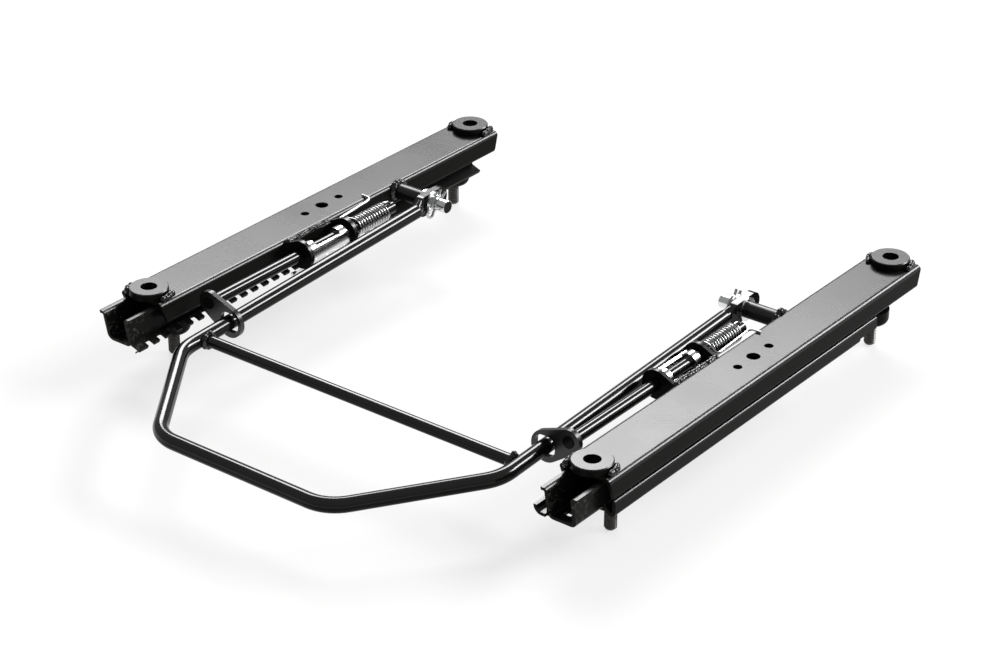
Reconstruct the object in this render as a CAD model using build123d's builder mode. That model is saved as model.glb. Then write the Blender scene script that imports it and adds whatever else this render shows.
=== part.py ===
# Seat slide rails: a pair of floor-mounted runners with one release handle.
# Millimetres. +X runs across the car, +Y to the rear, +Z up.
# The origin is the middle of the four floor studs, on the plane of the feet.
# The right-hand pieces are drawn, and the left-hand ones are their mirror image.
import math
import os

from build123d import *

os.makedirs("parts", exist_ok=True)

# Driving dimensions of the pair
rail_spacing = 355.4
seat_bolt_pitch = 335.0
floor_stud_pitch = 295.2

# Lower rail: a folded channel standing on two feet
lower_front = -200.0
lower_rear = 157.0
lower_width = 21.0
lower_sheet = 2.3
lower_corner = 4.5
lower_lip_round = 1.55
lower_front_slope = 4.0
lower_lip_gap = 2.7
lip_gap = 0.5
foot_height = 10.6
foot_diameter = 23.4
foot_edge_round = 4.5
stud_diameter = 8.0
stud_shank_diameter = 9.0
stud_drop = 16.5
stud_tip_chamfer = 1.0
stud_head_diameter = 11.4
stud_head_height = 2.5
stud_fit = 0.05

# Upper rail: an inverted channel that slides over the lower one
upper_front = -174.5
upper_rear = 177.0
upper_height = 15.7
upper_sheet = 2.5
upper_corner = 3.0
upper_lip_gap = 1.1
upper_lip_trim = 10.0
front_wall_slope = 5.0
rear_wall_slope = 3.5
middle_hole_diameter = 9.0
middle_hole_y = 2.4
side_hole_diameter = 6.0
side_hole_offset = 17.6

# Seat bolt rings
ring_diameter = 26.0
ring_bore = 11.0
ring_thickness = 5.0
ring_edge_round = 0.6

# Rolling set between the rails
roller_diameter = 19.7
roller_length = 13.0
roller_gap = 0.2
roller_places = {"front": -80.0, "rear": 95.0}
ball_diameter = 4.65
ball_gap = 0.275
ball_places = (-70.0, 70.0)
cage_length = 240.0
cage_thickness = 0.8
cage_height = 6.0
cage_hole_fit = 0.1

# Toothed rack along the inner edge of the lower rail
tooth_pitch = 10.5
notch_width = 5.5
notch_root_out = 2.1
notch_corner_round = 1.2
finger_count = 4
finger_side_gap = 0.4
first_finger_y = -48.75
notches_ahead = 13
notches_behind = 9
rack_root_rise = 3.0
rack_tip_out = 6.9
rack_drop = 3.2

# Outer edge flange of the lower rail, turned up under the upper rail
outer_flange_front = -169.0
outer_flange_rear = 123.0
outer_flange_step_y = 103.0
outer_flange_step_height = 3.5
outer_flange_out = 7.8
outer_flange_drop = 2.6
outer_flange_bend_out = 3.7
outer_flange_round = 1.7
outer_flange_root_round = 2.0
outer_flange_edge_round = 1.6

# Front end stop, curled up from the rack edge of the right-hand rail
stop_length = 17.0
stop_out = 7.4
stop_rise = 4.85
stop_radius = 4.8

# Drain window in the front of the lower rail's floor
window_front = -190.0
window_length = 5.0
window_width = 5.0
window_offset = -3.5

# Latch rod, bracket and latch plate
rod_diameter = 8.0
rod_front = -147.0
rod_rear = 39.0
rod_to_rail = 14.5
rod_below_top = 5.5
running_fit = 0.15
seat_fit = 0.05
bracket_front = -57.0
bracket_rear = -9.0
bracket_sheet = 3.0
bracket_nose_radius = 10.0
bracket_web_lift = 0.7
bracket_web_drop = 1.3
latch_sheet = 2.5
latch_end_gap = 0.5
knuckle_length = 6.5
knuckle_open_angle = -25.0
knuckle_front_gap = 1.0
knuckle_rear_gap = 2.5
web_drop = 4.0
finger_tip_back = 1.3
finger_tip_drop = 1.0
finger_lean = 1.0
finger_rise = 4.6
apron_share = 0.78
latch_bend_radius = 2.0

# Link plate that joins the handle arm to the latch rod
link_thickness = 3.4
link_rear = -143.0
link_rod_radius = 8.2
link_slot_end_radius = 10.6
link_slot_end = (-17.0, -8.9)
link_slot_place = (-17.4, -8.5)
link_slot_width = 15.0
link_slot_height = 13.6
link_slot_round = 5.5

# Latch return spring
spring_wire = 1.8
wire_sides = 8
spring_inner_diameter = 10.5
spring_front = -2.0
spring_turns = 12
spring_pitch = 2.65
spring_steps = 12
spring_leg_reach = 11.5
spring_leg_front = -6.0
spring_leg_front_drop = 1.8
spring_leg_rear = 27.0
spring_leg_rear_rise = 0.5
spring_shoulder_reach = 13.9
spring_hook_y = 30.4
spring_hook_reach = 20.0
spring_tang_y = 35.5
spring_tang_reach = 6.0
spring_hole_fit = 0.3

# Rear pivot of the handle
pivot_y = 62.5
sleeve_diameter = 11.5
pin_diameter = 9.4
pin_overhang = 9.2
pin_chamfer = 0.6
washer_diameter = 16.0
washer_thickness = 1.6
washer_gap = 0.2
clip_wire = 1.9
clip_plane_gap = 3.0
clip_hole_fit = 0.2
clip_tilt = 38.0

# Release handle and its cross bar
handle_diameter = 10.0
arm_to_rod = 17.0
arm_bend_y = -190.0
arm_bend_drop = 10.5
corner_bend_y = -275.0
corner_bend_x = 67.0
corner_bend_drop = 12.5
arm_bend_radius = 30.0
corner_bend_radius = 26.0
eye_thickness = 5.0
eye_height = 15.0
eye_neck = 18.0
eye_flat = 8.6
eye_edge_round = 2.4
cross_bar_diameter = 8.0
cross_bar_y = -171.0
cross_bar_fit = 0.05

# Heights and reaches that follow
rail_x = rail_spacing / 2
lower_bottom = foot_height
lower_floor = lower_bottom + lower_sheet
upper_under = lower_floor + roller_diameter + 2 * roller_gap
rail_top = upper_under + upper_sheet
upper_bottom = rail_top - upper_height
lower_top = upper_under - lip_gap
rack_root_height = lower_bottom + rack_root_rise
outer_flange_bottom = lower_bottom - outer_flange_drop
lower_half = lower_width / 2
upper_inner = lower_half + ball_diameter + 2 * ball_gap
upper_half = upper_inner + upper_sheet
lower_lip_reach = upper_inner - lower_lip_gap
upper_lip_reach = lower_half + upper_lip_gap
notch_root_reach = lower_half + notch_root_out
rack_tip_reach = lower_half + rack_tip_out
outer_flange_reach = lower_half + outer_flange_out
outer_flange_bend = lower_half + outer_flange_bend_out
stop_reach = lower_half + stop_out
rod_x = rail_x - upper_half - rod_to_rail
rod_z = rail_top - rod_below_top
rod_radius = rod_diameter / 2
arm_x = rod_x - arm_to_rod
arm_radius = handle_diameter / 2
pivot_z = rod_z
arm_bend_height = pivot_z - arm_bend_drop
corner_bend_height = pivot_z - corner_bend_drop
arm_rise = (pivot_z - arm_bend_height) / (pivot_y - arm_bend_y)
finger_width = notch_width - 2 * finger_side_gap
finger_tip = (
    rail_x - rack_tip_reach - finger_tip_back - rod_x,
    lower_bottom - finger_tip_drop - rod_z,
)
apron_foot = (finger_tip[0] - finger_lean, finger_tip[1] - finger_rise)


def rail_section(y):
    # Plane square to the right-hand rail, seen from the front, centred on the rail
    return Plane(origin=(rail_x, y, 0), x_dir=(1, 0, 0), z_dir=(0, -1, 0))


def rod_section(y):
    # Plane square to the latch rod, seen from the front, centred on the rod
    return Plane(origin=(rod_x, y, rod_z), x_dir=(1, 0, 0), z_dir=(0, -1, 0))


def arm_height(y):
    # Height of the handle arm's centre line
    return arm_bend_height + (y - arm_bend_y) * arm_rise


def write(piece, name):
    # One finished piece to its own file
    piece.label = name
    export_step(piece, f"parts/{name}.step")


def write_pair(piece, name):
    # The right-hand piece and its mirror image
    write(piece, f"right_{name}")
    with BuildPart() as mirrored:
        mirror(piece, about=Plane.YZ)
    write(mirrored.part, f"left_{name}")


REARWARD = (0, 1, 0)
rail_length = upper_rear - upper_front
lower_length = lower_rear - lower_front

# Upper rail: one folded sheet with in-turned lips
with BuildPart() as upper_rail:
    with BuildSketch(rail_section(upper_front)):
        with BuildLine():
            lip_line = upper_bottom + upper_sheet / 2
            wall_line = upper_half - upper_sheet / 2
            top_line = rail_top - upper_sheet / 2
            FilletPolyline(
                (-upper_lip_reach, lip_line),
                (-wall_line, lip_line),
                (-wall_line, top_line),
                (wall_line, top_line),
                (wall_line, lip_line),
                (upper_lip_reach, lip_line),
                radius=upper_corner - upper_sheet / 2,
            )
        trace(line_width=upper_sheet)
    extrude(amount=rail_length, dir=REARWARD)
    # The walls lean back from the top edge at the front, and forward at the rear
    for end_y, slope in ((upper_front, front_wall_slope), (upper_rear, -rear_wall_slope)):
        with BuildSketch(Plane.YZ.offset(rail_x)):
            Polygon(
                (end_y, rail_top - upper_corner),
                (end_y + slope, upper_bottom),
                (end_y, upper_bottom),
                align=None,
            )
        extrude(amount=upper_half, both=True, mode=Mode.SUBTRACT)
        lip_end = end_y + math.copysign(upper_lip_trim / 2, slope)
        with Locations((rail_x, lip_end, upper_bottom)):
            Box(
                2 * upper_inner,
                upper_lip_trim,
                2 * upper_sheet,
                mode=Mode.SUBTRACT,
            )
    # Seat bolt holes under the rings, and the three holes in the middle
    with BuildSketch(Plane.XY.offset(rail_top)):
        with Locations((rail_x, -seat_bolt_pitch / 2), (rail_x, seat_bolt_pitch / 2)):
            Circle(ring_bore / 2)
        with Locations((rail_x, middle_hole_y)):
            Circle(middle_hole_diameter / 2)
        with Locations(
            (rail_x, middle_hole_y - side_hole_offset),
            (rail_x, middle_hole_y + side_hole_offset),
        ):
            Circle(side_hole_diameter / 2)
    extrude(amount=-2 * upper_sheet, mode=Mode.SUBTRACT)
write_pair(upper_rail.part, "upper_rail")

# Seat bolt rings, welded on the upper rail
for place, ring_y in (("front", -seat_bolt_pitch / 2), ("rear", seat_bolt_pitch / 2)):
    with BuildPart() as ring:
        with BuildSketch(Plane.XY.offset(rail_top)):
            with Locations((rail_x, ring_y)):
                Circle(ring_diameter / 2)
                Circle(ring_bore / 2, mode=Mode.SUBTRACT)
        extrude(amount=ring_thickness)
        rim_edges = ring.edges().filter_by(GeomType.CIRCLE).sort_by(SortBy.RADIUS)[-2:]
        chamfer(rim_edges.sort_by(Axis.Z)[-1], length=ring_edge_round)
    write_pair(ring.part, f"{place}_ring")


def lower_rail_body():
    # Channel with out-turned lips, rack flange, outer flange, notches and window
    with BuildPart() as rail:
        wall_line = lower_half - lower_sheet / 2
        with BuildSketch(rail_section(lower_front)):
            with BuildLine():
                lip_line = lower_top - lower_sheet / 2
                floor_line = lower_bottom + lower_sheet / 2
                FilletPolyline(
                    (-lower_lip_reach, lip_line),
                    (-wall_line, lip_line),
                    (-wall_line, floor_line),
                    (wall_line, floor_line),
                    (wall_line, lip_line),
                    (lower_lip_reach, lip_line),
                    radius=[
                        lower_lip_round,
                        lower_corner - lower_sheet / 2,
                        lower_corner - lower_sheet / 2,
                        lower_lip_round,
                    ],
                )
            trace(line_width=lower_sheet)
            # The rack flange slants down and inward from the wall
            with BuildLine():
                Line(
                    (-wall_line, rack_root_height),
                    (-rack_tip_reach, rack_root_height - rack_drop),
                )
            trace(line_width=lower_sheet)
        extrude(amount=lower_length, dir=REARWARD)
        # The outer flange is turned up close under the upper rail's wall
        with BuildSketch(rail_section(outer_flange_front)):
            with BuildLine():
                strip_line = outer_flange_reach - lower_sheet / 2
                bottom_line = outer_flange_bottom + lower_sheet / 2
                FilletPolyline(
                    (wall_line, rack_root_height),
                    (outer_flange_bend, bottom_line),
                    (strip_line, bottom_line),
                    (strip_line, upper_bottom - lip_gap),
                    radius=[outer_flange_root_round, outer_flange_round],
                )
            trace(line_width=lower_sheet)
        extrude(amount=outer_flange_rear - outer_flange_front, dir=REARWARD)
        strip_corner = (rail_x + outer_flange_reach, 0, upper_bottom - lip_gap)
        strip_edges = rail.edges().filter_by(Axis.Y).sort_by_distance(strip_corner)
        fillet(strip_edges[0], radius=outer_flange_edge_round)
        # Its lower edge steps up near the rear end
        with BuildSketch(Plane.YZ.offset(rail_x + outer_flange_bend)):
            with Locations((outer_flange_rear, outer_flange_bottom)):
                Rectangle(
                    2 * (outer_flange_rear - outer_flange_step_y),
                    2 * outer_flange_step_height,
                )
        extrude(amount=lower_width, mode=Mode.SUBTRACT)
        # Notches of the rack
        notch_places = [
            (rail_x - rack_tip_reach, first_finger_y + step * tooth_pitch)
            for step in range(-notches_ahead, notches_behind + 1)
        ]
        with BuildSketch(Plane.XY.offset(upper_bottom - lip_gap)):
            with Locations(*notch_places):
                RectangleRounded(
                    2 * (rack_tip_reach - notch_root_reach),
                    notch_width,
                    notch_corner_round,
                )
        extrude(amount=-lower_bottom, mode=Mode.SUBTRACT)
        # The front end leans back from the lips to the floor
        with BuildSketch(Plane.YZ.offset(rail_x)):
            Polygon(
                (lower_front, lower_top),
                (lower_front + lower_front_slope, lower_bottom),
                (lower_front + lower_front_slope, 0),
                (lower_front, 0),
                align=None,
            )
        extrude(amount=rack_tip_reach, both=True, mode=Mode.SUBTRACT)
        # Window in the floor near the front
        with BuildSketch(Plane.XY.offset(lower_floor)):
            with Locations((rail_x + window_offset, window_front)):
                Rectangle(window_width, window_length, align=(Align.MIN, Align.MIN))
        extrude(amount=-2 * lower_sheet, mode=Mode.SUBTRACT)
        # Holes for the floor studs
        with BuildSketch(Plane.XY.offset(lower_floor)):
            with Locations((rail_x, -floor_stud_pitch / 2), (rail_x, floor_stud_pitch / 2)):
                Circle(stud_shank_diameter / 2 + stud_fit)
        extrude(amount=-2 * lower_sheet, mode=Mode.SUBTRACT)
    return rail.part


plain_lower_rail = lower_rail_body()
with BuildPart() as left_lower_rail:
    mirror(plain_lower_rail, about=Plane.YZ)
write(left_lower_rail.part, "left_lower_rail")

# The right-hand rail has its front end stop curled up instead of slanted
with BuildPart() as right_lower_rail:
    add(plain_lower_rail)
    stop_line = stop_reach - lower_sheet / 2
    with BuildSketch(Plane.XY.offset(upper_bottom - lip_gap)):
        with Locations((rail_x - lower_half, lower_front)):
            Rectangle(
                lower_width / 2,
                stop_length + lower_sheet,
                align=(Align.MAX, Align.MIN),
            )
    extrude(amount=-lower_bottom, mode=Mode.SUBTRACT)
    with BuildSketch(rail_section(lower_front)):
        with BuildLine():
            FilletPolyline(
                (-lower_half + lower_sheet / 2, upper_bottom - lip_gap - stop_rise),
                (-stop_line, upper_bottom - lip_gap - stop_rise),
                (-stop_line, upper_bottom - lip_gap),
                radius=stop_radius,
            )
        trace(line_width=lower_sheet)
    extrude(amount=stop_length, dir=REARWARD)
write(right_lower_rail.part, "right_lower_rail")

# Feet under the lower rail and the studs pressed through them
for place, stud_y in (("front", -floor_stud_pitch / 2), ("rear", floor_stud_pitch / 2)):
    with BuildPart() as foot:
        with BuildSketch(Plane.XY):
            with Locations((rail_x, stud_y)):
                Circle(foot_diameter / 2)
        extrude(amount=foot_height)
        fillet(foot.faces().sort_by(Axis.Z)[0].edges(), radius=foot_edge_round)
        with BuildSketch(Plane.XY):
            with Locations((rail_x, stud_y)):
                Circle(stud_shank_diameter / 2 + stud_fit)
        extrude(amount=foot_height, mode=Mode.SUBTRACT)
        # The top is shaped to the channel's rounded bottom and its two flanges
        add(plain_lower_rail, mode=Mode.SUBTRACT)
    write_pair(foot.part, f"{place}_foot")

    with BuildPart() as stud:
        with BuildSketch(Plane.XY.offset(-stud_drop)):
            with Locations((rail_x, stud_y)):
                Circle(stud_diameter / 2)
        extrude(amount=stud_drop)
        chamfer(stud.faces().sort_by(Axis.Z)[0].edges(), length=stud_tip_chamfer)
        with BuildSketch(Plane.XY):
            with Locations((rail_x, stud_y)):
                Circle(stud_shank_diameter / 2)
        extrude(amount=lower_floor)
        with BuildSketch(Plane.XY.offset(lower_floor)):
            with Locations((rail_x, stud_y)):
                Circle(stud_head_diameter / 2)
        extrude(amount=stud_head_height)
    write_pair(stud.part, f"{place}_stud")

# Rollers that carry the upper rail on the lower rail's floor
roller_z = lower_floor + roller_gap + roller_diameter / 2
for place, roller_y in roller_places.items():
    with BuildPart() as roller:
        with BuildSketch(Plane.YZ.offset(rail_x - roller_length / 2)):
            with Locations((roller_y, roller_z)):
                Circle(roller_diameter / 2)
        extrude(amount=roller_length)
    write_pair(roller.part, f"{place}_roller")

# Balls and their cage strips between the two walls, on both sides
ball_line = (lower_half + upper_inner) / 2
ball_z = (upper_bottom + upper_sheet + lower_top - lower_sheet) / 2
for side, line in (("inner", -ball_line), ("outer", ball_line)):
    with BuildPart() as cage:
        with Locations((rail_x + line, 0, ball_z)):
            Box(cage_thickness, cage_length, cage_height)
        with BuildSketch(Plane.YZ.offset(rail_x + line)):
            with Locations(*[(ball_y, ball_z) for ball_y in ball_places]):
                Circle(ball_diameter / 2 + cage_hole_fit)
        extrude(amount=cage_thickness, both=True, mode=Mode.SUBTRACT)
    write_pair(cage.part, f"{side}_ball_cage")
with BuildPart() as balls:
    with Locations(
        *[
            (rail_x + line, ball_y, ball_z)
            for line in (-ball_line, ball_line)
            for ball_y in ball_places
        ]
    ):
        Sphere(ball_diameter / 2)
write_pair(balls.part, "balls")

# Latch bracket: a U of sheet with two ears, welded to the upper rail's inner wall
bracket_face = rod_to_rail
bracket_web_bottom = upper_bottom + bracket_web_lift
bracket_web_top = rail_top - bracket_web_drop
with BuildPart() as latch_bracket:
    for ear_y in (bracket_front, bracket_rear - bracket_sheet):
        with BuildSketch(rod_section(ear_y)):
            with BuildSketch(mode=Mode.PRIVATE) as ear_foot:
                with Locations((bracket_face - bracket_sheet, bracket_web_bottom - rod_z)):
                    Rectangle(
                        bracket_sheet,
                        bracket_web_top - bracket_web_bottom,
                        align=(Align.MIN, Align.MIN),
                    )
            with BuildSketch(mode=Mode.PRIVATE) as ear_nose:
                Circle(bracket_nose_radius)
            make_hull(ear_foot.sketch.edges() + ear_nose.sketch.edges())
            Circle(rod_radius + running_fit, mode=Mode.SUBTRACT)
        extrude(amount=bracket_sheet, dir=REARWARD)
    with BuildSketch(rod_section(bracket_front)):
        with Locations((bracket_face - bracket_sheet, bracket_web_bottom - rod_z)):
            Rectangle(
                bracket_sheet,
                bracket_web_top - bracket_web_bottom,
                align=(Align.MIN, Align.MIN),
            )
    extrude(amount=bracket_rear - bracket_front, dir=REARWARD)
write_pair(latch_bracket.part, "latch_bracket")

# Latch: one folded plate, hooked over the rod and ending in four rack fingers
latch_front = bracket_front + bracket_sheet + latch_end_gap
latch_rear = bracket_rear - bracket_sheet - latch_end_gap
knuckle_line = rod_radius + seat_fit + latch_sheet / 2
with BuildPart() as latch:
    # Web and apron, over the whole length between the bracket's ears
    with BuildSketch(rod_section(latch_front)):
        with BuildLine():
            FilletPolyline(
                (-knuckle_line, web_drop),
                (-knuckle_line, -web_drop),
                (
                    apron_share * (apron_foot[0] + knuckle_line) - knuckle_line,
                    apron_share * (apron_foot[1] + web_drop) - web_drop,
                ),
                radius=latch_bend_radius,
            )
        trace(line_width=latch_sheet)
    extrude(amount=latch_rear - latch_front, dir=REARWARD)
    # Fingers, turned up to pass through the rack's notches
    for step in range(finger_count):
        with BuildSketch(rod_section(first_finger_y + step * tooth_pitch - finger_width / 2)):
            with BuildLine():
                FilletPolyline(
                    (-knuckle_line, -web_drop),
                    apron_foot,
                    finger_tip,
                    radius=latch_bend_radius,
                )
            trace(line_width=latch_sheet)
        extrude(amount=finger_width, dir=REARWARD)
    # Knuckles curled over the rod
    for knuckle_y in (
        latch_front + knuckle_front_gap,
        latch_rear - knuckle_rear_gap - knuckle_length,
    ):
        with BuildSketch(rod_section(knuckle_y)):
            with BuildLine():
                CenterArc((0, 0), knuckle_line, knuckle_open_angle, 180 - knuckle_open_angle)
            trace(line_width=latch_sheet)
        extrude(amount=knuckle_length, dir=REARWARD)
    # The rod's own room
    with BuildSketch(rod_section(latch_front)):
        Circle(rod_radius + seat_fit)
    extrude(amount=latch_rear - latch_front, dir=REARWARD, mode=Mode.SUBTRACT)
write_pair(latch.part, "latch")

# Link plate with the slot that the handle arm lifts
with BuildPart() as link_plate:
    with BuildSketch(rod_section(link_rear - link_thickness)):
        with BuildSketch(mode=Mode.PRIVATE) as link_rod_disc:
            Circle(link_rod_radius)
        with BuildSketch(mode=Mode.PRIVATE) as link_slot_disc:
            with Locations(link_slot_end):
                Circle(link_slot_end_radius)
        make_hull(link_rod_disc.sketch.edges() + link_slot_disc.sketch.edges())
        Circle(rod_radius + seat_fit, mode=Mode.SUBTRACT)
        with Locations(link_slot_place):
            RectangleRounded(
                link_slot_width,
                link_slot_height,
                link_slot_round,
                mode=Mode.SUBTRACT,
            )
    extrude(amount=link_thickness, dir=REARWARD)
write_pair(link_plate.part, "link_plate")

# Latch rod, drilled across near its rear end for the spring's tang
with BuildPart() as latch_rod:
    with BuildSketch(rod_section(rod_front)):
        Circle(rod_radius)
    extrude(amount=rod_rear - rod_front, dir=REARWARD)
    with BuildSketch(Plane.XY.offset(rod_z)):
        with Locations((rod_x, spring_tang_y)):
            Circle(spring_wire / 2 + spring_hole_fit)
    extrude(amount=rod_diameter, both=True, mode=Mode.SUBTRACT)
write_pair(latch_rod.part, "latch_rod")

# Return spring: a leg hooked over the rail, the coil, and a tang through the rod
coil_radius = (spring_inner_diameter + spring_wire) / 2
coil_points = []
for step in range(spring_turns * spring_steps + 1):
    angle = math.radians(90 + step * 360 / spring_steps)
    coil_points.append(
        (
            rod_x + coil_radius * math.cos(angle),
            spring_front + step * spring_pitch / spring_steps,
            rod_z + coil_radius * math.sin(angle),
        )
    )
hook_height = rail_top + spring_wire / 2 + seat_fit
leg_x = rod_x + spring_leg_reach
leg_points = [
    (rod_x + spring_hook_reach, spring_hook_y, hook_height),
    (rod_x + spring_shoulder_reach, spring_hook_y, hook_height),
    (leg_x, spring_leg_rear, rail_top + spring_leg_rear_rise),
    (leg_x, spring_leg_front, rail_top - spring_leg_front_drop),
]
tang_points = [
    (rod_x, spring_tang_y, rod_z + coil_radius),
    (rod_x, spring_tang_y, rod_z - spring_tang_reach),
]
spring_points = leg_points + coil_points + tang_points
with BuildPart() as latch_spring:
    with BuildLine():
        Polyline(*spring_points)
    first_run = Vector(*spring_points[1]) - Vector(*spring_points[0])
    with BuildSketch(Plane(origin=spring_points[0], z_dir=first_run)):
        RegularPolygon(spring_wire / 2, wire_sides)
    sweep(transition=Transition.RIGHT)
write_pair(latch_spring.part, "latch_spring")

# Pivot sleeve, a short tube welded to the upper rail's inner wall
eye_outer = arm_x + arm_radius
eye_inner = eye_outer - eye_thickness
sleeve_end = eye_outer + washer_thickness + 2 * washer_gap
rail_wall = rail_x - upper_half
with BuildPart() as pivot_sleeve:
    with BuildSketch(Plane.YZ.offset(sleeve_end)):
        with Locations((pivot_y, pivot_z)):
            Circle(sleeve_diameter / 2)
            Circle(pin_diameter / 2 + seat_fit, mode=Mode.SUBTRACT)
    extrude(amount=rail_wall - sleeve_end)
write_pair(pivot_sleeve.part, "pivot_sleeve")

# Pivot pin, pressed into the sleeve and cross drilled for its clip
clip_x = eye_inner - washer_thickness - washer_gap - clip_plane_gap
pin_end = clip_x - pin_overhang
clip_direction = Vector(0, math.cos(math.radians(clip_tilt)), math.sin(math.radians(clip_tilt)))
with BuildPart() as pivot_pin:
    with BuildSketch(Plane.YZ.offset(pin_end)):
        with Locations((pivot_y, pivot_z)):
            Circle(pin_diameter / 2)
    extrude(amount=rail_wall - pin_end)
    chamfer(pivot_pin.faces().sort_by(Axis.X)[0].edges(), length=pin_chamfer)
    with BuildSketch(Plane(origin=(clip_x, pivot_y, pivot_z), z_dir=clip_direction)):
        Circle(clip_wire / 2 + clip_hole_fit)
    extrude(amount=pin_diameter, both=True, mode=Mode.SUBTRACT)
write_pair(pivot_pin.part, "pivot_pin")

# Washers on both sides of the handle's eye
for place, washer_x in (
    ("outer", eye_outer + washer_gap),
    ("inner", eye_inner - washer_gap - washer_thickness),
):
    with BuildPart() as washer:
        with BuildSketch(Plane.YZ.offset(washer_x)):
            with Locations((pivot_y, pivot_z)):
                Circle(washer_diameter / 2)
                Circle(pin_diameter / 2 + running_fit, mode=Mode.SUBTRACT)
        extrude(amount=washer_thickness)
    write_pair(washer.part, f"{place}_pivot_washer")

# Hairpin clip: one leg through the pin, the other sprung round it
clip_plane = Plane(
    origin=(clip_x, pivot_y, pivot_z),
    x_dir=clip_direction,
    z_dir=(1, 0, 0),
)
wave_height = pin_diameter / 2 + clip_wire / 2 + 2 * seat_fit
clip_outline = [
    (10.5, 0),
    (-6.5, 0),
    (-9.5, -2.4),
    (-12.6, 1.8),
    (-9.6, 6.4),
    (-5.8, 4.2),
    (-3.0, wave_height),
    (3.0, wave_height),
    (5.6, 4.4),
    (8.5, 6.2),
]
with BuildPart() as hairpin_clip:
    with BuildLine(clip_plane):
        FilletPolyline(*clip_outline, radius=[1.6, 2.2, 2.2, 1.6, 1.1, 1.1, 1.1, 1.1])
    clip_end = clip_plane.from_local_coords(clip_outline[0])
    with BuildSketch(Plane(origin=clip_end, z_dir=clip_direction)):
        RegularPolygon(clip_wire / 2, wire_sides)
    sweep(transition=Transition.RIGHT)
write_pair(hairpin_clip.part, "hairpin_clip")

# Release handle: one bent bar with flattened ends
eye_start = pivot_y - eye_neck
flat_start = pivot_y - eye_flat
arm_direction = Vector(0, 1, arm_rise).normalized()
with BuildPart() as handle:
    with BuildLine():
        FilletPolyline(
            (arm_x, eye_start, arm_height(eye_start)),
            (arm_x, arm_bend_y, arm_bend_height),
            (corner_bend_x, corner_bend_y, corner_bend_height),
            (-corner_bend_x, corner_bend_y, corner_bend_height),
            (-arm_x, arm_bend_y, arm_bend_height),
            (-arm_x, eye_start, arm_height(eye_start)),
            radius=[arm_bend_radius, corner_bend_radius, corner_bend_radius, arm_bend_radius],
        )
    with BuildSketch(Plane(origin=(arm_x, eye_start, arm_height(eye_start)), z_dir=arm_direction)):
        Circle(arm_radius)
    sweep()
    for side in (1, -1):
        eye_x = side * (eye_outer - eye_thickness / 2)
        neck_plane = Plane(
            origin=(side * arm_x, eye_start, arm_height(eye_start)),
            x_dir=(1, 0, 0),
            z_dir=arm_direction,
        )
        flat_plane = Plane(
            origin=(eye_x, flat_start, arm_height(flat_start)),
            x_dir=(1, 0, 0),
            z_dir=arm_direction,
        )
        with BuildSketch(neck_plane):
            Circle(arm_radius)
        with BuildSketch(flat_plane):
            RectangleRounded(eye_thickness, eye_height, eye_edge_round)
        loft()
        with BuildSketch(Plane.YZ.offset(eye_x)):
            with Locations((pivot_y, pivot_z)):
                SlotCenterPoint((0, 0), (-eye_flat, -eye_flat * arm_rise), eye_height)
        extrude(amount=eye_thickness / 2, both=True)
        with BuildSketch(Plane.YZ.offset(eye_x)):
            with Locations((pivot_y, pivot_z)):
                Circle(pin_diameter / 2 + running_fit)
        extrude(amount=eye_thickness, both=True, mode=Mode.SUBTRACT)
write(handle.part, "handle")

# Cross bar, coped to the arms and welded between them
with BuildPart() as cross_bar:
    with BuildSketch(Plane.YZ.offset(-arm_x)):
        with Locations((cross_bar_y, arm_height(cross_bar_y))):
            Circle(cross_bar_diameter / 2)
    extrude(amount=2 * arm_x)
    for side in (1, -1):
        with BuildSketch(
            Plane(
                origin=(side * arm_x, arm_bend_y, arm_bend_height),
                z_dir=arm_direction,
            )
        ):
            Circle(arm_radius + cross_bar_fit)
        extrude(amount=2 * (cross_bar_y - arm_bend_y), mode=Mode.SUBTRACT)
    # Only the length between the arms is kept
    split(bisect_by=Plane.YZ.offset(arm_x), keep=Keep.BOTTOM)
    split(bisect_by=Plane.YZ.offset(-arm_x), keep=Keep.TOP)
write(cross_bar.part.solids().sort_by(SortBy.VOLUME)[-1], "cross_bar")
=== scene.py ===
import math
import random

import bpy
from mathutils import Matrix, Quaternion, Vector


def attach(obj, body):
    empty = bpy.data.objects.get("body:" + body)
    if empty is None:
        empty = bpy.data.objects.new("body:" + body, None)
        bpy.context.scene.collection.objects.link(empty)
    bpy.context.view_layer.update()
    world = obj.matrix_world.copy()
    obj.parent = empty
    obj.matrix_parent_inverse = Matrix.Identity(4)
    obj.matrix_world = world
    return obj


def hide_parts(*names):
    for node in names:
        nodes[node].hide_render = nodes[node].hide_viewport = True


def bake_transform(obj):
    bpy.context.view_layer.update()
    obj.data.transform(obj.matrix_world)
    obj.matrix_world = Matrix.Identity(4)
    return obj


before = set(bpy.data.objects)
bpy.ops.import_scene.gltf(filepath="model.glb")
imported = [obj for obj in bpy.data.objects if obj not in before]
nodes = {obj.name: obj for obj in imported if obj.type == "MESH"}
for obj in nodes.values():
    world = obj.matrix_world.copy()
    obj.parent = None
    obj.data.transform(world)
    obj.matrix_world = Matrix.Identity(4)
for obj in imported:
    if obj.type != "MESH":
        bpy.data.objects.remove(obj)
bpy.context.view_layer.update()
MM = 0.001

# Upper rails: folded steel channels with welded seat rings, dipped in black stoving enamel.
# The enamel is glossy, with a faint orange peel that softens each reflection a little.
# Upright and downward faces get far less sheen than level ones, a painted shade that keeps them
# dark, so only the level faces catch the light.


def linear(hex_colour):
    values = [int(hex_colour[i : i + 2], 16) / 255 for i in (1, 3, 5)]
    return [v / 12.92 if v <= 0.04045 else ((v + 0.055) / 1.055) ** 2.4 for v in values] + [1.0]


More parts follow.
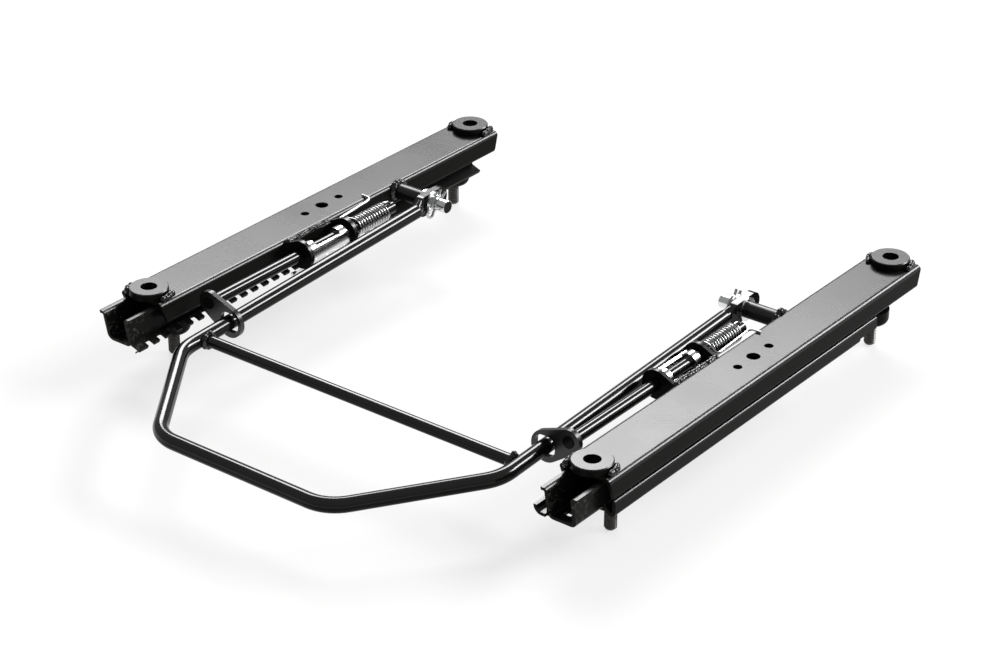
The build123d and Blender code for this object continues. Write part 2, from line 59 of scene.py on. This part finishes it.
def add_node(material, kind, settings=(), links=()):
    """One shader node.

    Settings are (name or socket, value), and links are (socket, source node, its socket).
    """
    tree = material.node_tree
    made = tree.nodes.new(kind)
    for name, value in settings:
        if isinstance(name, str) and hasattr(made, name):
            setattr(made, name, value)
        else:
            made.inputs[name].default_value = value
    for socket, source, output in links:
        tree.links.new(source.outputs[output], made.inputs[socket])
    return made


def new_material(name):
    made = bpy.data.materials.new(name)
    made.use_nodes = True
    made.node_tree.nodes.clear()
    return made


def finish_material(material, shader):
    add_node(material, "ShaderNodeOutputMaterial", links=[("Surface", shader, 0)])
    return material


def paint_node(name, material):
    mesh = nodes[name].data
    mesh.materials.clear()
    mesh.materials.append(material)


# Real peel of about a millimetre hardly shows at this size, so it is drawn a little coarser
peel_size = 1.6 * MM
flow_size = 45 * MM
noise_low, noise_high = 0.3, 0.7
wall_slope, top_slope = 0.05, 0.55


def enamel(name, colour, roughness, peel_height, sheen):
    """Black enamel, with its roughness where it flowed best and least.

    Its sheen is given on upright and on level faces; the low sheen on upright and downward faces
    is painted shade.
    """
    made = new_material(name)
    place = add_node(made, "ShaderNodeTexCoord")
    flow = add_node(
        made,
        "ShaderNodeTexNoise",
        [("Scale", 1 / flow_size), ("Detail", 3.0)],
        [("Vector", place, "Object")],
    )
    gloss = add_node(
        made,
        "ShaderNodeMapRange",
        [
            ("From Min", noise_low),
            ("From Max", noise_high),
            ("To Min", roughness[0]),
            ("To Max", roughness[1]),
        ],
        [("Value", flow, "Fac")],
    )
    peel = add_node(
        made,
        "ShaderNodeTexNoise",
        [("Scale", 1 / peel_size), ("Detail", 2.0)],
        [("Vector", place, "Object")],
    )
    relief = add_node(
        made,
        "ShaderNodeBump",
        [("Strength", 1.0), ("Distance", peel_height)],
        [("Height", peel, "Fac")],
    )
    facing = add_node(made, "ShaderNodeNewGeometry")
    upward = add_node(made, "ShaderNodeSeparateXYZ", links=[("Vector", facing, "Normal")])
    # Sheen follows how far a face looks up: upright and downward faces reflect little, a painted
    # shade that keeps them dark.
    level = add_node(
        made,
        "ShaderNodeMapRange",
        [
            ("From Min", wall_slope),
            ("From Max", top_slope),
            ("To Min", sheen[0]),
            ("To Max", sheen[1]),
        ],
        [("Value", upward, "Z")],
    )
    shader = add_node(
        made,
        "ShaderNodeBsdfPrincipled",
        [("Base Color", linear(colour))],
        [
            ("Roughness", gloss, "Result"),
            ("Specular IOR Level", level, "Result"),
            ("Normal", relief, "Normal"),
        ],
    )
    return finish_material(made, shader)


stoved_enamel = enamel(
    "black_stoving_enamel",
    "#141413",
    roughness=(0.25, 0.30),
    peel_height=0.0004 * MM,
    sheen=(0.02, 0.5),
)
sides = {"left": -1, "right": 1}
for side in sides:
    for piece in ("upper_rail", "front_ring", "rear_ring", "latch_bracket", "pivot_sleeve"):
        paint_node(f"{side}_{piece}", stoved_enamel)

# Lower rails: the floor channels with their toothed racks, on round feet.
# The same black enamel, its roughness spread a little wider; upright and downward faces keep a
# low sheen, a painted shade.
# At the open front ends it is scuffed, and the steel shows through faintly in small spots.
channel_black, bare_steel = "#131312", "#8b877f"
channel_enamel = enamel(
    "black_channel_enamel",
    channel_black,
    roughness=(0.22, 0.34),
    peel_height=0.0030 * MM,
    sheen=(0.04, 0.5),
)
scuff_size = 3.5 * MM
scuffs_full_y, scuffs_end_y = -190 * MM, -172 * MM
scuffs_more_at_end = 0.14
scuff_starts, scuff_worn_through = 0.68, 0.80
scuff_strength = 0.22
# The sockets of a colour mix
mix_share, mix_first, mix_second, mix_result = 0, 6, 7, 2

coat = channel_enamel.node_tree.nodes["Principled BSDF"]
place = add_node(channel_enamel, "ShaderNodeTexCoord")
along = add_node(channel_enamel, "ShaderNodeSeparateXYZ", links=[("Vector", place, "Object")])
near_end = add_node(
    channel_enamel,
    "ShaderNodeMapRange",
    [
        ("From Min", scuffs_full_y),
        ("From Max", scuffs_end_y),
        ("To Min", scuffs_more_at_end),
        ("To Max", 0.0),
    ],
    [("Value", along, "Y")],
)
spots = add_node(
    channel_enamel,
    "ShaderNodeTexNoise",
    [("Scale", 1 / scuff_size), ("Detail", 5.0), ("Roughness", 0.65)],
    [("Vector", place, "Object")],
)
raised = add_node(
    channel_enamel,
    "ShaderNodeMath",
    [("operation", "ADD")],
    [(0, spots, "Fac"), (1, near_end, "Result")],
)
rubbed = add_node(
    channel_enamel,
    "ShaderNodeMapRange",
    [
        ("From Min", scuff_starts),
        ("From Max", scuff_worn_through),
        ("To Max", scuff_strength),
    ],
    [("Value", raised, 0)],
)
worn_colour = add_node(
    channel_enamel,
    "ShaderNodeMix",
    [
        ("data_type", "RGBA"),
        (mix_first, linear(channel_black)),
        (mix_second, linear(bare_steel)),
    ],
    [(mix_share, rubbed, "Result")],
)
channel_enamel.node_tree.links.new(worn_colour.outputs[mix_result], coat.inputs["Base Color"])
for side in sides:
    for piece in ("lower_rail", "front_foot", "rear_foot"):
        paint_node(f"{side}_{piece}", channel_enamel)

# Release handle, cross bar, latch rods and link plates: round bar and thick plate.
# Enamelled after welding, so the black runs on over the joints. On the drawn bar it is very
# smooth, and reflections run along it as thin lines. The flame-cut plates are rougher.
# Its sides and undersides get low sheen, a painted shade that keeps them dark.
bar_enamel = enamel(
    "black_bar_enamel",
    "#121211",
    roughness=(0.10, 0.16),
    peel_height=0.0010 * MM,
    sheen=(0.06, 0.5),
)
plate_enamel = enamel(
    "black_plate_enamel",
    "#151514",
    roughness=(0.20, 0.34),
    peel_height=0.008 * MM,
    sheen=(0.5, 0.5),
)
for name in ("handle", "cross_bar", "left_latch_rod", "right_latch_rod"):
    paint_node(name, bar_enamel)
for name in ("left_link_plate", "right_link_plate"):
    paint_node(name, plate_enamel)

# Rolling set: ground rollers and balls in pressed strip cages, greased.
# It is hidden between the rails but for a glimpse at the open ends, as bright plain steel.
bearing_steel = new_material("ground_bearing_steel")
bearing_shader = add_node(
    bearing_steel,
    "ShaderNodeBsdfPrincipled",
    [("Base Color", linear("#a8a9aa")), ("Metallic", 1.0), ("Roughness", 0.22)],
)
finish_material(bearing_steel, bearing_shader)
for side in sides:
    for piece in ("front_roller", "rear_roller", "balls", "inner_ball_cage", "outer_ball_cage"):
        paint_node(f"{side}_{piece}", bearing_steel)

# Latches, pivot pins and their washers: bright zinc plated steel.
# Each latch is one folded plate. It keeps the faint streaks of the rolled sheet,
# and the plating bath leaves slightly duller clouds. The pins' inner ends take the black bar
# enamel.
streak_width = 0.8 * MM
streak_length = 25 * MM
bath_size = 9 * MM
pin_end_reach = 114.3 * MM


def bright_zinc(name, colour, dull_colour, roughness):
    """Zinc plate, with its roughness at the brightest and at the dullest streaks."""
    made = new_material(name)
    place = add_node(made, "ShaderNodeTexCoord")
    stretch = add_node(
        made,
        "ShaderNodeMapping",
        [("Scale", (1 / streak_width, 1 / streak_length, 1 / streak_width))],
        [("Vector", place, "Object")],
    )
    streaks = add_node(
        made,
        "ShaderNodeTexNoise",
        [("Scale", 1.0), ("Detail", 4.0)],
        [("Vector", stretch, "Vector")],
    )
    bath = add_node(
        made,
        "ShaderNodeTexNoise",
        [("Scale", 1 / bath_size), ("Detail", 3.0)],
        [("Vector", place, "Object")],
    )
    tone = add_node(
        made,
        "ShaderNodeMix",
        [("data_type", "RGBA"), (mix_first, linear(colour)), (mix_second, linear(dull_colour))],
        [(mix_share, bath, "Fac")],
    )
    gloss = add_node(
        made,
        "ShaderNodeMapRange",
        [
            ("From Min", noise_low),
            ("From Max", noise_high),
            ("To Min", roughness[0]),
            ("To Max", roughness[1]),
        ],
        [("Value", streaks, "Fac")],
    )
    shader = add_node(
        made,
        "ShaderNodeBsdfPrincipled",
        [("Metallic", 1.0)],
        [("Base Color", tone, mix_result), ("Roughness", gloss, "Result")],
    )
    return finish_material(made, shader)


plate_zinc = bright_zinc("bright_zinc_plate", "#eff0f0", "#dcdddd", roughness=(0.14, 0.28))
for side in sides:
    for piece in ("latch", "pivot_pin", "inner_pivot_washer", "outer_pivot_washer"):
        paint_node(f"{side}_{piece}", plate_zinc)
    pin = nodes[f"{side}_pivot_pin"].data
    pin.materials.append(bar_enamel)
    black_slot = len(pin.materials) - 1
    for face in pin.polygons:
        if abs(face.center.x) < pin_end_reach:
            face.material_index = black_slot

# Latch springs: close coils of zinc plated music wire round each latch rod.
# A leg runs along the rail's edge and hooks over its top, a tang goes through the rod.
# The leg stays with the rail while the coil winds up and its tang turns with the rod; here the
# coil is one still mesh.
wire_zinc = bright_zinc("zinc_plated_wire", "#d2d3d3", "#9fa0a0", roughness=(0.10, 0.18))
rod_x, rod_z = 145.0, 30.0
spring_wire = 1.6
coil_front, coil_pitch, coil_turns, coil_steps = -2.0, 2.65, 12, 24
coil_radius = 6.15
coil_start_angle = 90
hook_height = 36.45
leg_reach = 11.5
# Millimetres outward from the rod, rearward from the middle of the four studs, and up
hook_and_leg = (
    (20.0, 30.6, hook_height),
    (16.0, 30.4, hook_height),
    (13.6, 30.2, hook_height),
    (leg_reach + 0.4, 29.0, 36.2),
    (leg_reach, 25.0, 35.8),
    (leg_reach, 8.0, 34.6),
    (leg_reach, -3.5, 33.8),
    (leg_reach - 0.8, -5.8, 33.9),
    (leg_reach - 3.5, -5.0, 34.8),
    (4.5, -3.0, 36.0),
)
# Millimetres rearward from the middle of the four studs, and up from the rod
tang = ((33.0, coil_radius), (35.3, coil_radius - 0.6), (35.5, 3.0), (35.5, -6.0))
wire_sides = 10
wire_smooth_angle = math.radians(50)


def deselect():
    if bpy.context.object and bpy.context.object.mode == "EDIT":
        bpy.ops.object.mode_set(mode="OBJECT")
    bpy.ops.object.select_all(action="DESELECT")


def bent_wire(name, points, thickness):
    """A round wire through points in millimetres, as a mesh piece with closed ends."""
    curve = bpy.data.curves.new(name, "CURVE")
    curve.dimensions = "3D"
    spline = curve.splines.new("NURBS")
    spline.points.add(len(points) - 1)
    for knot, point in zip(spline.points, points):
        knot.co = (*(value * MM for value in point), 1.0)
    spline.order_u = 3
    spline.use_endpoint_u = True
    spline.resolution_u = 3
    curve.bevel_depth = thickness * MM / 2
    curve.bevel_resolution = (wire_sides - 4) // 2
    curve.use_fill_caps = True
    piece = bpy.data.objects.new(name, curve)
    bpy.context.scene.collection.objects.link(piece)
    deselect()
    piece.select_set(True)
    bpy.context.view_layer.objects.active = piece
    bpy.ops.object.convert(target="MESH")
    bpy.ops.object.shade_smooth_by_angle(angle=wire_smooth_angle)
    return bpy.context.object


for side, sign in sides.items():
    points = [(rod_x + out, y, z) for out, y, z in hook_and_leg]
    for step in range(coil_turns * coil_steps + 1):
        angle = math.radians(coil_start_angle + step * 360 / coil_steps)
        points.append(
            (
                rod_x + coil_radius * math.cos(angle),
                coil_front + step * coil_pitch / coil_steps,
                rod_z + coil_radius * math.sin(angle),
            )
        )
    points += [(rod_x, y, rod_z + up) for y, up in tang]
    spring = bent_wire(
        f"{side}_coil_spring", [(sign * x, y, z) for x, y, z in points], spring_wire
    )
    spring.data.materials.append(wire_zinc)
    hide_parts(f"{side}_latch_spring")
    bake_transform(spring)

# Hairpin clips: spring wire through the pivot pin, its second leg sprung round the pin.
# Zinc plated as the springs are, and pushed in from the low front.
pivot_y, pivot_z = 62.5, 30.0
clip_x = 123.2
clip_wire = 1.9
clip_tilt = math.radians(38)
# Millimetres along the straight leg and square to it, from the pin's axis
clip_outline = (
    (10.5, 0),
    (0, 0),
    (-5.5, 0),
    (-8.2, -1.6),
    (-10.6, -1.6),
    (-12.3, 1.0),
    (-11.8, 4.4),
    (-9.4, 6.0),
    (-7.4, 5.0),
    (-5.4, 4.0),
    (-3.4, 5.4),
    (0, 6.5),
    (3.4, 5.4),
    (5.4, 4.2),
    (8.5, 6.2),
)
for side, sign in sides.items():
    points = [
        (
            sign * clip_x,
            pivot_y + along * math.cos(clip_tilt) - up * math.sin(clip_tilt),
            pivot_z + along * math.sin(clip_tilt) + up * math.cos(clip_tilt),
        )
        for along, up in clip_outline
    ]
    clip = bent_wire(f"{side}_clip", points, clip_wire)
    clip.data.materials.append(wire_zinc)
    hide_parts(f"{side}_hairpin_clip")
    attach(clip, f"{side}_upper")

# Weld beads: gas-shielded welds laid by hand, lumpy, with the enamel pooled over them.
# They hold the rings, the latch brackets, the sleeves, the link plates and the cross bar.
# The pooled enamel is smooth and full of small bright reflections.
weld_enamel = enamel(
    "enamel_over_weld",
    "#121211",
    roughness=(0.10, 0.20),
    peel_height=0.010 * MM,
    sheen=(0.5, 0.5),
)
weld_grain = 0.35 * MM
lump_step = 1.7
lump_shift = 0.12
lump_smallest, lump_largest = 0.42, 0.60


def weld_bead(name, runs, size, body, seed):
    """Lumps of about size millimetres laid along each run of points, melted into one skin."""
    dice = random.Random(seed)
    deselect()
    lumps = []
    for run in runs:
        for start, end in zip(run, run[1:]):
            start, end = Vector(start), Vector(end)
            count = max(1, round((end - start).length / lump_step))
            for index in range(count):
                centre = start.lerp(end, (index + 0.5) / count)
                shift = Vector([dice.uniform(-lump_shift, lump_shift) * size for _ in range(3)])
                radius = size * dice.uniform(lump_smallest, lump_largest)
                bpy.ops.mesh.primitive_ico_sphere_add(
                    subdivisions=2, radius=radius * MM, location=(centre + shift) * MM
                )
                lumps.append(bpy.context.object)
    for lump in lumps:
        lump.select_set(True)
    bpy.context.view_layer.objects.active = lumps[0]
    bpy.ops.object.join()
    bpy.ops.object.transform_apply(location=True, rotation=True, scale=True)
    bead = bpy.context.object
    bead.name = name
    melt = bead.modifiers.new("melt", "REMESH")
    melt.mode = "VOXEL"
    melt.voxel_size = weld_grain
    bpy.ops.object.modifier_apply(modifier="melt")
    flow_out = bead.modifiers.new("flow_out", "SMOOTH")
    flow_out.factor = 0.5
    flow_out.iterations = 3
    bpy.ops.object.modifier_apply(modifier="flow_out")
    bpy.ops.object.shade_smooth()
    bead.data.materials.append(weld_enamel)
    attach(bead, body)
    return bead


def arc(centre, radius, axis, first, last, steps=6):
    """Points round centre in the plane square to axis, angles in degrees."""
    points = []
    x, y, z = centre
    for step in range(steps + 1):
        angle = math.radians(first + (last - first) * step / steps)
        a, b = radius * math.cos(angle), radius * math.sin(angle)
        round_axis = {"x": (x, y + a, z + b), "y": (x + a, y, z + b), "z": (x + a, y + b, z)}
        points.append(round_axis[axis])
    return points


def to_side(run, sign):
    return [(sign * x, y, z) for x, y, z in run]


rail_x, rail_top, rail_half = 177.7, 35.5, 18.2
rail_side = rail_x - rail_half
ring_weld_y, ring_weld_radius, ring_weld_z = 167.5, 14.6, rail_top + 1.0
ring_weld_angles = ((-12, 36), (172, 216))
bracket_weld_front, bracket_weld_rear, bracket_weld_z = -55, -12, 34.2
sleeve_weld_radius, link_weld_radius, bar_weld_radius = 6.6, 4.8, 4.6
link_weld_y = -142.2
bar_weld_x, bar_weld_y, bar_weld_z = 122.6, -171.0, 20.3
for side, sign in sides.items():
    ring_runs = [
        arc((sign * rail_x, y, ring_weld_z), ring_weld_radius, "z", first, last)
        for y in (-ring_weld_y, ring_weld_y)
        for first, last in ring_weld_angles
    ]
    bead = weld_bead(
        f"{side}_ring_welds", ring_runs, size=4.6, body=f"{side}_upper", seed=11 + sign
    )

    edge_run = [
        (rail_side - 0.6, bracket_weld_front, bracket_weld_z),
        (rail_side - 0.4, bracket_weld_rear, bracket_weld_z),
    ]
    edge_run = to_side(edge_run, sign)
    bead = weld_bead(
        f"{side}_bracket_weld", [edge_run], size=4.2, body=f"{side}_upper", seed=21 + sign
    )

    sleeve_run = arc((rail_side - 0.5, pivot_y, pivot_z), sleeve_weld_radius, "x", -40, 220)
    sleeve_run = to_side(sleeve_run, sign)
    bead = weld_bead(
        f"{side}_sleeve_weld", [sleeve_run], size=4.4, body=f"{side}_upper", seed=31 + sign
    )

    link_run = to_side(arc((rod_x, link_weld_y, rod_z), link_weld_radius, "y", -20, 200), sign)
    bead = weld_bead(
        f"{side}_link_weld", [link_run], size=3.0, body=f"{side}_latch_set", seed=41 + sign
    )

    bar_run = arc((bar_weld_x, bar_weld_y, bar_weld_z), bar_weld_radius, "x", -20, 330, steps=10)
    bar_run = to_side(bar_run, sign)
    bead = weld_bead(
        f"{side}_cross_bar_weld", [bar_run], size=3.8, body="handle", seed=51 + sign
    )

# Floor studs: M8 threaded steel, black oxide, pressed down through the feet.
# The thread is a ridge wound round a core, as a rolled thread is.
# The oxide is a matt grey black, so the thread shows as fine light and dark rings.
stud_oxide = enamel(
    "black_oxide_thread",
    "#4a4845",
    roughness=(0.20, 0.30),
    peel_height=0.0020 * MM,
    sheen=(0.5, 0.5),
)
stud_y = 147.6
stud_radius, thread_pitch, thread_depth, thread_turns = 4.0, 1.25, 0.62, 12
stud_tip, tip_chamfer = -16.5, 0.8
head_bottom, head_top, head_radius = 12.9, 15.4, 5.7
core_radius = stud_radius - thread_depth
ridge_half_width, ridge_sunk, ridge_above_tip = 0.56, 0.15, 1.2
core_sides, ridge_steps = 48, 32
merge_distance = 0.01
level_normal = 0.9
thread_smooth_angle = math.radians(25)


def stud_core():
    """The core and head of a stud on the Z axis."""
    deselect()
    bpy.ops.mesh.primitive_cylinder_add(
        vertices=core_sides,
        radius=core_radius * MM,
        depth=(head_bottom - stud_tip) * MM,
        location=(0, 0, (head_bottom + stud_tip) / 2 * MM),
    )
    core = bpy.context.object
    bpy.ops.object.transform_apply(location=True, rotation=True, scale=True)
    bpy.ops.object.mode_set(mode="EDIT")
    bpy.ops.mesh.select_mode(type="FACE")
    bpy.ops.mesh.select_all(action="DESELECT")
    bpy.ops.object.mode_set(mode="OBJECT")
    for face in core.data.polygons:
        face.select = face.normal.z > level_normal
    bpy.ops.object.mode_set(mode="EDIT")
    bpy.ops.mesh.extrude_region_move(TRANSFORM_OT_translate={"value": (0, 0, 0)})
    bpy.ops.transform.resize(
        value=(head_radius / core_radius, head_radius / core_radius, 1),
        center_override=(0, 0, head_bottom * MM),
    )
    bpy.ops.mesh.extrude_region_move(
        TRANSFORM_OT_translate={"value": (0, 0, (head_top - head_bottom) * MM)}
    )
    bpy.ops.object.mode_set(mode="OBJECT")
    for face in core.data.polygons:
        face.select = face.normal.z < -level_normal and face.center.z < 0
    bpy.ops.object.mode_set(mode="EDIT")
    bpy.ops.mesh.bevel(offset=tip_chamfer * MM, affect="EDGES")
    bpy.ops.object.mode_set(mode="OBJECT")
    return core


def thread_ridge():
    """The thread alone, wound up from just above the stud's tip."""
    deselect()
    bpy.ops.mesh.primitive_circle_add(
        vertices=3, radius=thread_depth * MM, fill_type="NGON", location=(0, 0, 0)
    )
    ridge = bpy.context.object
    bpy.ops.object.mode_set(mode="EDIT")
    bpy.ops.mesh.select_all(action="SELECT")
    bpy.ops.mesh.delete(type="ONLY_FACE")
    bpy.ops.object.mode_set(mode="OBJECT")
    section = (
        (core_radius - ridge_sunk, 0, -ridge_half_width),
        (stud_radius, 0, 0),
        (core_radius - ridge_sunk, 0, ridge_half_width),
    )
    for corner, spot in zip(ridge.data.vertices, section):
        corner.co = Vector(spot) * MM
    wind = ridge.modifiers.new("wind", "SCREW")
    wind.axis = "Z"
    wind.angle = 2 * math.pi
    wind.screw_offset = thread_pitch * MM
    wind.iterations = thread_turns
    wind.steps = ridge_steps
    wind.render_steps = ridge_steps
    bpy.ops.object.modifier_apply(modifier="wind")
    bpy.ops.object.mode_set(mode="EDIT")
    bpy.ops.mesh.select_all(action="SELECT")
    bpy.ops.mesh.remove_doubles(threshold=merge_distance * MM)
    bpy.ops.mesh.select_all(action="DESELECT")
    bpy.ops.mesh.select_mode(type="EDGE")
    bpy.ops.mesh.select_non_manifold()
    bpy.ops.mesh.edge_face_add()
    bpy.ops.mesh.select_all(action="SELECT")
    bpy.ops.mesh.normals_make_consistent(inside=False)
    bpy.ops.transform.translate(value=(0, 0, (stud_tip + ridge_above_tip) * MM))
    bpy.ops.object.mode_set(mode="OBJECT")
    return ridge


core = stud_core()
ridge = thread_ridge()
deselect()
ridge.select_set(True)
core.select_set(True)
bpy.context.view_layer.objects.active = core
bpy.ops.object.join()
bpy.ops.object.shade_smooth_by_angle(angle=thread_smooth_angle)
core.data.materials.clear()
core.data.materials.append(stud_oxide)
for side, sign in sides.items():
    for end, y in (("front", -stud_y), ("rear", stud_y)):
        stud = bpy.data.objects.new(f"{side}_{end}_thread", core.data.copy())
        stud.data.transform(Matrix.Translation(Vector((sign * rail_x, y, 0)) * MM))
        bpy.context.scene.collection.objects.link(stud)
        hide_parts(f"{side}_{end}_stud")
        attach(stud, "lower_rails")
bpy.data.objects.remove(core)

# Studio: a white table just under the stud tips, a softbox behind, one beside, and a dim room.
# The dim room keeps the black enamel deep, and each lamp's edge shades off along the rails.
# The table is near white to the eye and in the metal, and still holds a soft shadow.
table_size, table_gap = 16, 0.02
table_glow_share = 0.70
room_light = 0.30

table_white = new_material("white_table")
seen = add_node(table_white, "ShaderNodeLightPath")
either = add_node(
    table_white,
    "ShaderNodeMath",
    [("operation", "MAXIMUM")],
    [(0, seen, "Is Camera Ray"), (1, seen, "Is Glossy Ray")],
)
white_share = add_node(
    table_white,
    "ShaderNodeMath",
    [("operation", "MULTIPLY"), (1, table_glow_share)],
    [(0, either, 0)],
)
table_paint = add_node(
    table_white,
    "ShaderNodeBsdfPrincipled",
    [("Base Color", linear("#f8f8f7")), ("Roughness", 0.9), ("Specular IOR Level", 0.0)],
)
table_glow = add_node(
    table_white, "ShaderNodeEmission", [("Color", linear("#ffffff")), ("Strength", 1.0)]
)
table_skin = add_node(
    table_white,
    "ShaderNodeMixShader",
    links=[(0, white_share, 0), (1, table_paint, 0), (2, table_glow, 0)],
)
finish_material(table_white, table_skin)
deselect()
bpy.ops.mesh.primitive_plane_add(size=table_size, location=(0, 0, (stud_tip - table_gap) * MM))
table = bpy.context.object
table.name = "table"
table.data.materials.append(table_white)


def softbox(name, azimuth, elevation, distance, width, height, power):
    """An area lamp that looks at the origin from that direction, in degrees and metres."""
    lamp = bpy.data.lights.new(name, "AREA")
    lamp.shape = "RECTANGLE"
    lamp.size = width
    lamp.size_y = height
    lamp.energy = power
    stand = bpy.data.objects.new(name, lamp)
    bpy.context.scene.collection.objects.link(stand)
    a, e = math.radians(azimuth), math.radians(elevation)
    direction = Vector((math.cos(a) * math.cos(e), math.sin(a) * math.cos(e), math.sin(e)))
    stand.location = direction * distance
    stand.rotation_euler = (-stand.location).to_track_quat("-Z", "Y").to_euler()


softbox(
    "rear_softbox", azimuth=131, elevation=40.5, distance=6.0, width=3.0, height=2.3, power=275
)
softbox("side_softbox", azimuth=57, elevation=33, distance=5.0, width=3.6, height=1.0, power=240)

world = bpy.data.worlds.new("studio_air")
world.use_nodes = True
world.node_tree.nodes["Background"].inputs["Color"].default_value = linear("#ffffff")
world.node_tree.nodes["Background"].inputs["Strength"].default_value = room_light
bpy.context.scene.world = world

# Camera: the photograph's own viewpoint, found from the rails' vanishing points.
# A long lens looks down on the part from beyond the front end of the right-hand rail.
camera_lens, film_width = 98.78, 36.0
camera_place = (0.9711, -1.2801, 0.8473)
camera_direction = Vector((-0.54068, 0.69858, -0.46866))
camera_roll = Quaternion((0, 0, 1), math.radians(0.1986))
nearest_seen = 0.05

camera_data = bpy.data.cameras.new("photo_camera")
camera_data.lens = camera_lens
camera_data.sensor_width = film_width
camera_data.clip_start = nearest_seen
camera = bpy.data.objects.new("photo_camera", camera_data)
bpy.context.scene.collection.objects.link(camera)
camera.location = camera_place
camera.rotation_euler = (camera_direction.to_track_quat("-Z", "Y") @ camera_roll).to_euler()
bpy.context.scene.camera = camera
bpy.context.scene.view_settings.view_transform = "Standard"
